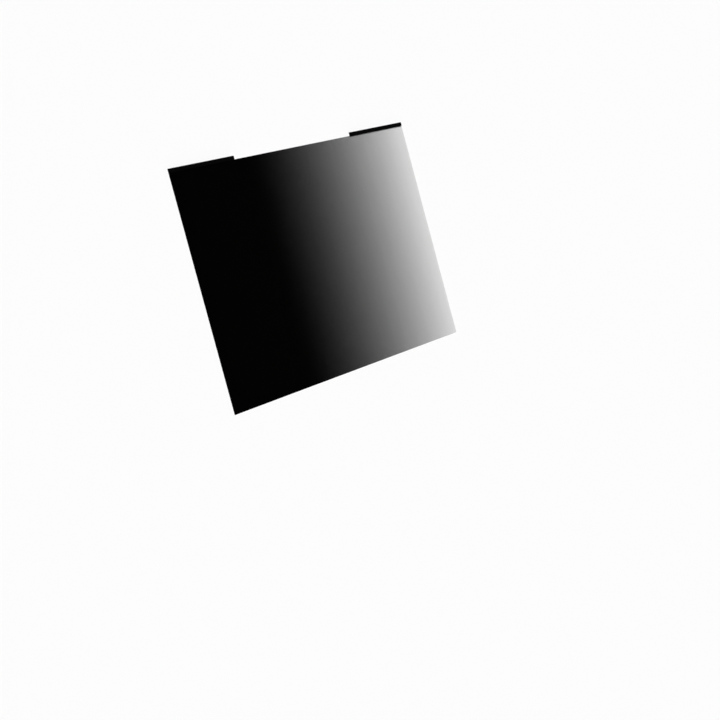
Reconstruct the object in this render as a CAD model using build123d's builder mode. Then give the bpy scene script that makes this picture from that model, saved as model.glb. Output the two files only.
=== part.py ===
"""Privacy filter in the 15.6-inch widescreen format, lying flat with its mounting strips up.

The filter is one die-cut sheet of tinted film. At both ends of its top edge the outline rises to a low ear,
and a black mounting strip is bonded to each ear. Between the ears the top edge is straight and stays low.

Units are millimetres. X runs across the sheet, Y towards the edge with the ears and Z up. The origin is on
the underside, below the middle of the whole outline.
"""

from build123d import *
import os

# Sheet, whose window has the shape 16:9 and a diagonal of 15.6 inches
WINDOW_WIDTH = 344.0
WINDOW_HEIGHT = 194.0
SHEET_THICKNESS = 0.5
CORNER_RADIUS = 0.5

# Ears, which carry on the sheet's left and right sides above the window
EAR_LENGTH = 86.0
EAR_RISE = 3.1
EAR_ROOT_RADIUS = 0.4

# Mounting strips, one on each ear, set in from its cut edges and lapping a little onto the window
STRIP_THICKNESS = 0.5
STRIP_INSET = 0.15
STRIP_LAP = 0.3
STRIP_CORNER_RADIUS = 0.35

# Lines that the sheet and the strips share
side_x = WINDOW_WIDTH / 2
ear_end_x = side_x - EAR_LENGTH
ear_top_y = (WINDOW_HEIGHT + EAR_RISE) / 2
window_top_y = ear_top_y - EAR_RISE
bottom_y = window_top_y - WINDOW_HEIGHT

os.makedirs("parts", exist_ok=True)

# The outline goes up the right side, over the right ear and down to the window, then the same on the left
right_side = [
    (side_x, bottom_y),
    (side_x, ear_top_y),
    (ear_end_x, ear_top_y),
    (ear_end_x, window_top_y),
]
left_side = [(-x, y) for x, y in reversed(right_side)]

with BuildPart() as privacy_sheet:
    with BuildSketch() as outline:
        with BuildLine():
            Polyline(*right_side, *left_side, close=True)
        make_face()
        ear_roots = outline.vertices().group_by(Axis.Y)[1]
        fillet(ear_roots, EAR_ROOT_RADIUS)
        rows = outline.vertices().group_by(Axis.Y)
        fillet(rows[0] + rows[-1], CORNER_RADIUS)
    extrude(amount=SHEET_THICKNESS)

privacy_sheet.part.label = "privacy_sheet"
export_step(privacy_sheet.part, "parts/privacy_sheet.step")

# A strip covers its ear to just inside the cut edges, and its lower edge laps over the window's top line
strip_length = EAR_LENGTH - 2 * STRIP_INSET
strip_width = EAR_RISE - STRIP_INSET + STRIP_LAP
strip_x = side_x - EAR_LENGTH / 2
strip_y = window_top_y - STRIP_LAP + strip_width / 2

for name, side in (("left_mounting_strip", -1), ("right_mounting_strip", 1)):
    with BuildPart() as mounting_strip:
        with BuildSketch(Plane.XY.offset(SHEET_THICKNESS)):
            with Locations((side * strip_x, strip_y)):
                RectangleRounded(strip_length, strip_width, STRIP_CORNER_RADIUS)
        extrude(amount=STRIP_THICKNESS)

    mounting_strip.part.label = name
    export_step(mounting_strip.part, f"parts/{name}.step")
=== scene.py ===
# %% [markdown]
# A privacy filter is a thin sheet of dark film that darkens what lies behind it when it is looked at from
# one side. This one has a black mounting strip on a low ear at each end of its top edge. The three pieces
# come from the CAD frame at their real size and stay as they are. A flat sheet needs no new mesh, so the
# work here is in the finishes, the light and the camera.

# %% Load the frame
import math

import bmesh
import bpy
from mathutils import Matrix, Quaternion, Vector


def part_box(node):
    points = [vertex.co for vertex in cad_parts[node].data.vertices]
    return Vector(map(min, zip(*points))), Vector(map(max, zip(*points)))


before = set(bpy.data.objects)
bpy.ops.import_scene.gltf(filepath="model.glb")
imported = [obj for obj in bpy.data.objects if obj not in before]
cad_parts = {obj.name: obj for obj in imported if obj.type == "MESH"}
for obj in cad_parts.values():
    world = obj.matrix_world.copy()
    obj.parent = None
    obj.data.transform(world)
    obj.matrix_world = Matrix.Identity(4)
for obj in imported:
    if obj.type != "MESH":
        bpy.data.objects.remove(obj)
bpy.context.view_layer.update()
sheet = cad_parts["privacy_sheet"]
strips = [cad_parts["left_mounting_strip"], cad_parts["right_mounting_strip"]]
sheet_low, sheet_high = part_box("privacy_sheet")
sheet_width = sheet_high.x - sheet_low.x
print("sheet in mm:", [round(side * 1000, 2) for side in sheet_high - sheet_low])

# %% [markdown]
# Every finish below is a node tree around one Principled shader, and the patterns in it read Object
# coordinates, which are metres here. Such a tree can be drawn by hand in the shader editor. In a script, a
# few small helpers keep it short: they add a node, and fill its inputs with fixed values or with links.

# %% Helpers for node trees
def new_material(name):
    """A material with only a Principled shader and an output. Returns it with its tree and the shader."""
    material = bpy.data.materials.new(name)
    material.use_nodes = True
    tree = material.node_tree
    tree.nodes.clear()
    shader = tree.nodes.new("ShaderNodeBsdfPrincipled")
    output = tree.nodes.new("ShaderNodeOutputMaterial")
    tree.links.new(shader.outputs["BSDF"], output.inputs["Surface"])
    return material, tree, shader


def fill(tree, socket, value):
    """Give a socket a fixed value, or link it to another node's output."""
    if isinstance(value, bpy.types.NodeSocket):
        tree.links.new(value, socket)
    else:
        socket.default_value = value


def fill_inputs(tree, node, **inputs):
    """Fill a node's inputs by name, with _ for a space."""
    for name, value in inputs.items():
        fill(tree, node.inputs[name.replace("_", " ")], value)


def add_node(tree, kind, **inputs):
    """A new node of one kind, with its inputs filled."""
    node = tree.nodes.new("ShaderNode" + kind)
    fill_inputs(tree, node, **inputs)
    return node


def calculate(tree, operation, *values):
    """The result of a Math node, whose inputs all have the same name, so they are filled in order."""
    node = tree.nodes.new("ShaderNodeMath")
    node.operation = operation
    for socket, value in zip(node.inputs, values):
        fill(tree, socket, value)
    return node.outputs["Value"]


def remap(tree, value, old_range, new_range):
    """A value carried from one range over to another, and held at the ends."""
    node = add_node(tree, "MapRange", Value=value)
    fill_inputs(tree, node, From_Min=old_range[0], From_Max=old_range[1])
    fill_inputs(tree, node, To_Min=new_range[0], To_Max=new_range[1])
    return node.outputs["Result"]


# %% [markdown]
# A privacy film holds fine upright louvres, which pass light over a narrow range of angles only. The
# photograph shows what that does as a fade across the sheet, black on the left and a light grey on the
# right, even from top to bottom. A finish that followed the camera would slide over the sheet, so the fade
# is fixed to it here. A painted image could hold it, with a limited number of pixels. A formula on the X
# coordinate is exact at any size: it stays at zero up to a point, then rises as a power curve. What passes
# the whole film passes two faces, so each face lets through the square root of it.

# %% Tinted film: how much each face lets through
dark_share = 0.27
clear_pass = 0.70
fade_power = 2.77
fade_start = sheet_low.x + dark_share * sheet_width

film, film_tree, film_shader = new_material("tinted_film")
film_place = add_node(film_tree, "TexCoord").outputs["Object"]
across = add_node(film_tree, "SeparateXYZ", Vector=film_place).outputs["X"]
fade = remap(film_tree, across, (fade_start, sheet_high.x), (0, 1))
face_fade = calculate(film_tree, "POWER", fade, fade_power / 2)
face_cover = remap(film_tree, face_fade, (0, 1), (1, 1 - math.sqrt(clear_pass)))
fill_inputs(film_tree, film_shader, Alpha=face_cover)
print("film is black up to", round((fade_start - sheet_low.x) * 1000), "mm from its left side")

# %% [markdown]
# The film's own colour is a neutral black. A blade cut its outline, and a cut edge is a little paler and
# duller than a face, because it scatters the light. The edge could have a material of its own, but its
# faces would have to be picked out first. One material can hold both: the Normal output says which way the
# surface looks in the object's own axes, and on the cut edge it lies level.

# %% Tinted film: faces and cut edge
def grey(level):
    """A neutral colour, as red, green, blue and alpha."""
    return (level, level, level, 1)


face_grey = 0.0003
edge_grey = 0.03
edge_below = 0.3
face_above = 0.7

film_facing = add_node(film_tree, "TexCoord").outputs["Normal"]
upward = add_node(film_tree, "SeparateXYZ", Vector=film_facing).outputs["Z"]
up_or_down = calculate(film_tree, "ABSOLUTE", upward)
cut_edge = remap(film_tree, up_or_down, (edge_below, face_above), (1, 0))
film_mix = add_node(film_tree, "MixRGB", Fac=cut_edge, Color1=grey(face_grey), Color2=grey(edge_grey))
fill_inputs(film_tree, film_shader, Base_Color=film_mix.outputs["Color"])
print("film colour: faces", face_grey, "and cut edge", edge_grey)

# %% [markdown]
# The faces have a low-glare coat. Such a coat mirrors less than bare plastic, so the specular level is low,
# and it has a very fine tooth that blurs what it does mirror. The tooth is noise in the roughness and a
# faint bump, finer than a millimetre. As real bumps it would take millions of faces. The cut edge has no
# coat, so its roughness is higher.

# %% Tinted film: low-glare coat
def grain(tree, size, detail):
    """An even cloud of noise on Object coordinates, with lumps of about the given size in metres."""
    place = add_node(tree, "TexCoord").outputs["Object"]
    noise = add_node(tree, "TexNoise", Vector=place, Scale=1 / size, Detail=detail)
    return noise.outputs["Fac"]


coat_tooth = 0.0007
coat_detail = 2
coat_depth = 0.00002
coat_bump = 0.15
coat_rough = (0.18, 0.26)
edge_extra_rough = 0.4
coat_mirror = 0.07

tooth = grain(film_tree, coat_tooth, coat_detail)
face_rough = remap(film_tree, tooth, (0, 1), coat_rough)
edge_rough = calculate(film_tree, "MULTIPLY", cut_edge, edge_extra_rough)
film_rough = calculate(film_tree, "ADD", face_rough, edge_rough)
film_bump = add_node(film_tree, "Bump", Strength=coat_bump, Distance=coat_depth, Height=tooth)
fill_inputs(film_tree, film_shader, Roughness=film_rough, Normal=film_bump.outputs["Normal"])
fill_inputs(film_tree, film_shader, Specular_IOR_Level=coat_mirror)
sheet.data.materials.clear()
sheet.data.materials.append(film)
print("coat tooth in mm:", coat_tooth * 1000)

# %% [markdown]
# The tint is known from how the film looks against a white ground that it doesn't shade. Lying on the floor
# it would also dim the light that falls on the floor below, and the tint would count twice. Ray visibility
# settles that: lamps and bounced light pass the sheet, while the camera and reflections still see it.

# %% Let light reach the floor under the film
sheet.visible_shadow = False
sheet.visible_diffuse = False
print("film lets lamps through:", not sheet.visible_shadow)

# %% [markdown]
# The mounting strips are solid black rubber, cut from a rolled sheet. They have no shine, only the even fine
# grain that the rollers leave. A picture of rubber would need a UV map and would repeat, and noise does
# neither. Noise at a quarter of a millimetre gives the bump, and a slower noise varies the black a little,
# so that a strip isn't one flat colour.

# %% Mounting strips
strip_grain = 0.00025
strip_grain_detail = 3
strip_depth = 0.00005
strip_bump = 0.4
strip_patch = 0.006
strip_patch_detail = 4
strip_black = 0.0004
strip_paler = 0.0014
strip_rough = 0.5
strip_mirror = 0.02

rubber, rubber_tree, rubber_shader = new_material("strip_rubber")
patches = grain(rubber_tree, strip_patch, strip_patch_detail)
rubber_mix = add_node(rubber_tree, "MixRGB", Fac=patches, Color1=grey(strip_black), Color2=grey(strip_paler))
lumps = grain(rubber_tree, strip_grain, strip_grain_detail)
rubber_bump = add_node(rubber_tree, "Bump", Strength=strip_bump, Distance=strip_depth, Height=lumps)
fill_inputs(rubber_tree, rubber_shader, Base_Color=rubber_mix.outputs["Color"])
fill_inputs(rubber_tree, rubber_shader, Normal=rubber_bump.outputs["Normal"])
fill_inputs(rubber_tree, rubber_shader, Roughness=strip_rough, Specular_IOR_Level=strip_mirror)
for strip in strips:
    strip.data.materials.clear()
    strip.data.materials.append(rubber)
print("strips:", [strip.name for strip in strips])

# %% [markdown]
# The floor is one large matt plane, so far out that its edge doesn't show. Its colour is nearly white, and
# the light is set so that it renders about as it is written. It lies a hair below the sheet, because a ray
# can't tell two faces apart that share one plane.

# %% Floor
floor_reach = 12.0
floor_gap = 0.0002
paper_grey = 0.96

floor_mesh = bmesh.new()
bmesh.ops.create_grid(floor_mesh, x_segments=1, y_segments=1, size=floor_reach)
bmesh.ops.translate(floor_mesh, vec=(0, 0, -floor_gap), verts=floor_mesh.verts)
floor_data = bpy.data.meshes.new("floor")
floor_mesh.to_mesh(floor_data)
floor_mesh.free()
floor = bpy.data.objects.new("floor", floor_data)
bpy.context.scene.collection.objects.link(floor)
paper, paper_tree, paper_shader = new_material("floor_paper")
fill_inputs(paper_tree, paper_shader, Base_Color=grey(paper_grey), Roughness=1, Specular_IOR_Level=0)
floor_data.materials.append(paper)
print("floor reaches", floor_reach, "m each way")

# %% [markdown]
# A dark sheet shows whatever it mirrors, so the light comes from where this camera sees no mirror image of
# it: high up, beyond the ears. Area lamps near by would light the floor unevenly. A sun lamp lights all of
# it alike, and a wide angle makes it as soft as a large soft box.

# %% Key light
def direction_from(azimuth, elevation):
    """The direction to a point seen at an azimuth, turning from +Y towards +X, and an elevation."""
    level = math.cos(elevation)
    return Vector((math.sin(azimuth) * level, math.cos(azimuth) * level, math.sin(elevation)))


key_azimuth = math.radians(-25)
key_elevation = math.radians(58)
key_width = math.radians(32)
key_strength = 3.52

key_data = bpy.data.lights.new("key", "SUN")
key_data.energy = key_strength
key_data.angle = key_width
key = bpy.data.objects.new("key", key_data)
key_from = direction_from(key_azimuth, key_elevation)
key.rotation_mode = "QUATERNION"
key.rotation_quaternion = (-key_from).to_track_quat("-Z", "Y")
bpy.context.scene.collection.objects.link(key)
print("key light from", [round(c, 2) for c in key_from])

# %% [markdown]
# The rest of the room is the world: pale along the horizon, which is what the low views see behind the
# sheet, and dim higher up, where the film mirrors it. A panorama could stand for the room, but this script
# reads no image, and a fade is plain enough: the height of a ray's direction picks the grey.

# %% Room
pale_up_to = 0.12
dim_from = 0.32
horizon_grey = 0.98
ceiling_grey = 0.02

world = bpy.data.worlds.new("room")
bpy.context.scene.world = world
world.use_nodes = True
room = world.node_tree
direction = add_node(room, "TexCoord").outputs["Generated"]
height = add_node(room, "SeparateXYZ", Vector=direction).outputs["Z"]
room_grey = remap(room, height, (pale_up_to, dim_from), (horizon_grey, ceiling_grey))
fill_inputs(room, room.nodes["Background"], Color=room_grey)
print("room is", horizon_grey, "at the horizon and", ceiling_grey, "above")

# %% [markdown]
# The sheet lies down here, so the camera looks down on it from its left, turned on its side so that the edge
# with the ears comes out at the top of the picture. A camera can be placed by eye, but four corners of a
# flat sheet of known size fix one, and these values put each about half a pixel from the photograph's.

# %% Camera
camera_aim = Vector((0.0123, -0.0920, 0.0))
camera_distance = 1.764
camera_azimuth = math.radians(-85.62)
camera_elevation = math.radians(34.64)
camera_roll = math.radians(77.40)
camera_lens = 104.0
camera_sensor = 36.0

camera_data = bpy.data.cameras.new("camera")
camera_data.sensor_width = camera_sensor
camera_data.lens = camera_lens
camera = bpy.data.objects.new("camera", camera_data)
bpy.context.scene.collection.objects.link(camera)
camera_from = direction_from(camera_azimuth, camera_elevation)
camera.location = camera_aim + camera_distance * camera_from
camera.rotation_mode = "QUATERNION"
upright = (-camera_from).to_track_quat("-Z", "Y")
camera.rotation_quaternion = upright @ Quaternion((0, 0, 1), camera_roll)
bpy.context.scene.camera = camera
bpy.context.scene.view_settings.view_transform = "Standard"
print("camera at", [round(c, 3) for c in camera.location])
